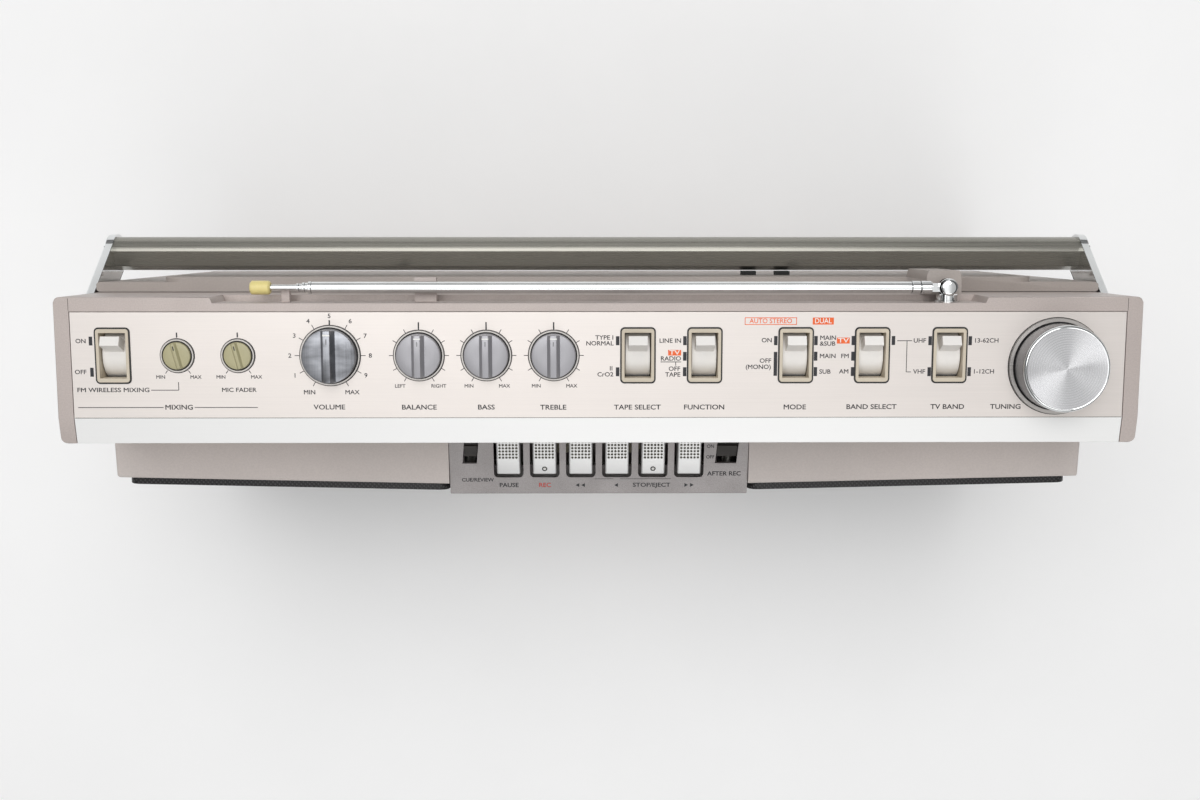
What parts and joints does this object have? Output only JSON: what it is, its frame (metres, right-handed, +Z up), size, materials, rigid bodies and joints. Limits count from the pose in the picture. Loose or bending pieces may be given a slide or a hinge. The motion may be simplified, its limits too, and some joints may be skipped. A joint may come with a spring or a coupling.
{
  "type": "radio cassette player",
  "caption": "Upright radio cassette player with a control row on top, piano keys, a centre tape deck, speaker grilles, a folding handle and a telescopic aerial.",
  "frame": {"origin": "middle of the bounding box's base, on the surface that the feet stand on", "axes": "+X to the right seen from the front, +Y to the rear, +Z up"},
  "size_m": [0.55, 0.1451, 0.2916],
  "materials": {
    "cabinet_taupe": "fine-textured warm grey moulding",
    "housing_silver": "satin silver paint on plastic",
    "fascia_aluminium": "brushed, clear anodised",
    "ivory_plastic": "satin ivory",
    "black_trim": "satin black",
    "clear_window": "clear acrylic",
    "pointer_orange": "painted",
    "deck_grey": "satin metallic grey",
    "grille_black": "perforated sheet, black paint",
    "speaker_steel": "pressed steel",
    "cone_paper": "pressed paper",
    "plated_steel": "zinc plated",
    "board_brown": "phenolic board",
    "rubber": "matt black",
    "chrome": "polished",
    "grip_grey": "satin dark grey",
    "tip_cream": "yellowed cream",
    "knob_metal": "turned, satin",
    "knob_beige": "satin beige",
    "key_silver": "silver paint",
    "reel_ivory": "moulded"
  },
  "bodies": {
    "cabinet": {"front_cabinet": "cabinet_taupe", "rear_cabinet": "cabinet_taupe", "upper_housing": "housing_silver", "control_fascia": "fascia_aluminium", "switch_bezels": "ivory_plastic", "knob_rings": "black_trim", "dial_scale": "black_trim", "socket_panel": "black_trim", "dial_window": "clear_window", "key_panel": "deck_grey", "deck_frame": "deck_grey", "left_grille": "grille_black", "right_grille": "grille_black", "woofer_frames": "speaker_steel", "tweeters": "speaker_steel", "woofer_cones": "cone_paper", "deck_chassis": "plated_steel", "cabinet_screws": "plated_steel", "handle_screws": "plated_steel", "drive_motor": "plated_steel", "power_transformer": "plated_steel", "control_board": "board_brown", "rubber_feet": "rubber", "aerial_bush": "chrome"},
    "handle": {"handle_grip": "grip_grey", "handle_arms": "chrome"},
    "aerial_swivel": {"aerial_swivel": "chrome"},
    "aerial_mast": {"aerial_tube": "chrome"},
    "aerial_middle": {"aerial_section_2": "chrome"},
    "aerial_inner": {"aerial_section_3": "chrome"},
    "aerial_end": {"aerial_rod": "chrome", "aerial_tip": "tip_cream"},
    "cassette_door": {"cassette_door": "deck_grey", "door_window": "clear_window"},
    "mixing_lever": {"mixing_lever": "ivory_plastic"},
    "tape_lever": {"tape_lever": "ivory_plastic"},
    "function_lever": {"function_lever": "ivory_plastic"},
    "mode_lever": {"mode_lever": "ivory_plastic"},
    "band_lever": {"band_lever": "ivory_plastic"},
    "tv_lever": {"tv_lever": "ivory_plastic"},
    "mixing_knob": {"mixing_knob": "knob_beige"},
    "fader_knob": {"fader_knob": "knob_beige"},
    "volume_knob": {"volume_knob": "knob_metal"},
    "balance_knob": {"balance_knob": "knob_metal"},
    "bass_knob": {"bass_knob": "knob_metal"},
    "treble_knob": {"treble_knob": "knob_metal"},
    "tuning_knob": {"tuning_knob": "knob_metal"},
    "pause_key": {"pause_key": "key_silver"},
    "record_key": {"record_key": "key_silver"},
    "rewind_key": {"rewind_key": "key_silver"},
    "play_key": {"play_key": "key_silver"},
    "stop_key": {"stop_key": "key_silver"},
    "forward_key": {"forward_key": "key_silver"},
    "review_switch": {"review_switch": "black_trim"},
    "dubbing_switch": {"dubbing_switch": "black_trim"},
    "dial_pointer": {"dial_pointer": "pointer_orange"},
    "battery_door": {"battery_door": "cabinet_taupe"},
    "supply_reel": {"supply_reel": "reel_ivory"},
    "takeup_reel": {"takeup_reel": "reel_ivory"},
    "capstan_flywheel": {"capstan_flywheel": "plated_steel"}
  },
  "joints": [
    {"name": "handle_fold", "type": "hinge", "parent": "cabinet", "child": "handle", "pos_m": [0, 0.004, 0.248], "axis": [1, 0, 0], "range_deg": [0, 140]},
    {"name": "aerial_swing", "type": "hinge", "parent": "cabinet", "child": "aerial_swivel", "pos_m": [0.175, 0.0462, 0.265], "axis": [0, 1, 0], "range_deg": [0, 180]},
    {"name": "aerial_tilt", "type": "hinge", "parent": "aerial_swivel", "child": "aerial_mast", "pos_m": [0.175, 0.0462, 0.265], "axis": [0, 0, -1], "range_deg": [0, 90]},
    {"name": "aerial_draw_1", "type": "slide", "parent": "aerial_mast", "child": "aerial_middle", "axis": [-1, 0, 0], "range_m": [0, 0.22]},
    {"name": "aerial_draw_2", "type": "slide", "parent": "aerial_middle", "child": "aerial_inner", "axis": [-1, 0, 0], "range_m": [0, 0.22]},
    {"name": "aerial_draw_3", "type": "slide", "parent": "aerial_inner", "child": "aerial_end", "axis": [-1, 0, 0], "range_m": [0, 0.22]},
    {"name": "mixing_switch", "type": "hinge", "parent": "cabinet", "child": "mixing_lever", "pos_m": [-0.24138, 0.013, 0.261], "axis": [1, 0, 0], "range_deg": [0, 43]},
    {"name": "tape_switch", "type": "hinge", "parent": "cabinet", "child": "tape_lever", "pos_m": [0.0189, 0.013, 0.261], "axis": [1, 0, 0], "range_deg": [0, 43]},
    {"name": "function_switch", "type": "hinge", "parent": "cabinet", "child": "function_lever", "pos_m": [0.05211, 0.013, 0.261], "axis": [1, 0, 0], "range_deg": [0, 43]},
    {"name": "mode_switch", "type": "hinge", "parent": "cabinet", "child": "mode_lever", "pos_m": [0.09747, 0.013, 0.261], "axis": [1, 0, 0], "range_deg": [0, 43]},
    {"name": "band_switch", "type": "hinge", "parent": "cabinet", "child": "band_lever", "pos_m": [0.13554, 0.013, 0.261], "axis": [1, 0, 0], "range_deg": [0, 43]},
    {"name": "tv_switch", "type": "hinge", "parent": "cabinet", "child": "tv_lever", "pos_m": [0.17415, 0.013, 0.261], "axis": [1, 0, 0], "range_deg": [0, 43]},
    {"name": "mixing_turn", "type": "hinge", "parent": "cabinet", "child": "mixing_knob", "pos_m": [-0.20952, 0.013, 0.276], "axis": [0, 0, -1], "range_deg": [-140, 140]},
    {"name": "fader_turn", "type": "hinge", "parent": "cabinet", "child": "fader_knob", "pos_m": [-0.17955, 0.013, 0.276], "axis": [0, 0, -1], "range_deg": [-140, 140]},
    {"name": "volume_turn", "type": "hinge", "parent": "cabinet", "child": "volume_knob", "pos_m": [-0.13392, 0.013, 0.276], "axis": [0, 0, -1], "range_deg": [-150, 150]},
    {"name": "balance_turn", "type": "hinge", "parent": "cabinet", "child": "balance_knob", "pos_m": [-0.08991, 0.013, 0.276], "axis": [0, 0, -1], "range_deg": [-150, 150]},
    {"name": "bass_turn", "type": "hinge", "parent": "cabinet", "child": "bass_knob", "pos_m": [-0.05643, 0.013, 0.276], "axis": [0, 0, -1], "range_deg": [-150, 150]},
    {"name": "treble_turn", "type": "hinge", "parent": "cabinet", "child": "treble_knob", "pos_m": [-0.02295, 0.013, 0.276], "axis": [0, 0, -1], "range_deg": [-150, 150]},
    {"name": "tuning_turn", "type": "hinge", "parent": "cabinet", "child": "tuning_knob", "pos_m": [0.22788, 0.0075, 0.276], "axis": [0, 0, -1], "range_deg": [-720, 720]},
    {"name": "dial_travel", "type": "slide", "parent": "cabinet", "child": "dial_pointer", "axis": [1, 0, 0], "range_m": [-0.0754, 0.0754]},
    {"name": "pause_press", "type": "hinge", "parent": "cabinet", "child": "pause_key", "pos_m": [0, -0.008, 0.19], "axis": [1, 0, 0], "range_deg": [0, 7], "stiffness_Nm_per_rad": 0.6},
    {"name": "record_press", "type": "hinge", "parent": "cabinet", "child": "record_key", "pos_m": [0, -0.008, 0.19], "axis": [1, 0, 0], "range_deg": [0, 7], "stiffness_Nm_per_rad": 0.6},
    {"name": "rewind_press", "type": "hinge", "parent": "cabinet", "child": "rewind_key", "pos_m": [0, -0.008, 0.19], "axis": [1, 0, 0], "range_deg": [0, 7], "stiffness_Nm_per_rad": 0.6},
    {"name": "play_press", "type": "hinge", "parent": "cabinet", "child": "play_key", "pos_m": [0, -0.008, 0.19], "axis": [1, 0, 0], "range_deg": [0, 7], "stiffness_Nm_per_rad": 0.6},
    {"name": "stop_press", "type": "hinge", "parent": "cabinet", "child": "stop_key", "pos_m": [0, -0.008, 0.19], "axis": [1, 0, 0], "range_deg": [0, 7], "stiffness_Nm_per_rad": 0.6},
    {"name": "forward_press", "type": "hinge", "parent": "cabinet", "child": "forward_key", "pos_m": [0, -0.008, 0.19], "axis": [1, 0, 0], "range_deg": [0, 7], "stiffness_Nm_per_rad": 0.6},
    {"name": "review_slide", "type": "slide", "parent": "cabinet", "child": "review_switch", "axis": [0, -0.9799, -0.1994], "range_m": [0, 0.006]},
    {"name": "dubbing_slide", "type": "slide", "parent": "cabinet", "child": "dubbing_switch", "axis": [0, -0.9799, -0.1994], "range_m": [0, 0.006]},
    {"name": "cassette_door_open", "type": "hinge", "parent": "cabinet", "child": "cassette_door", "pos_m": [0, -0.0708, 0.1018], "axis": [1, 0, 0], "range_deg": [0, 35]},
    {"name": "battery_door_open", "type": "hinge", "parent": "cabinet", "child": "battery_door", "pos_m": [0, 0.0459, 0.0128], "axis": [-1, 0, 0], "range_deg": [0, 90]},
    {"name": "capstan_spin", "type": "hinge", "parent": "cabinet", "child": "capstan_flywheel", "pos_m": [0.014, -0.046, 0.1165], "axis": [0, 1, 0], "continuous": true},
    {"name": "supply_spin", "type": "hinge", "parent": "cabinet", "child": "supply_reel", "pos_m": [-0.02125, -0.046, 0.143], "axis": [0, 1, 0], "continuous": true},
    {"name": "takeup_spin", "type": "hinge", "parent": "cabinet", "child": "takeup_reel", "pos_m": [0.02125, -0.046, 0.143], "axis": [0, 1, 0], "continuous": true}
  ],
  "couplings": [
    {"joint": "dial_travel", "follows": "tuning_turn", "m_per_rad": 0.006}
  ]
}
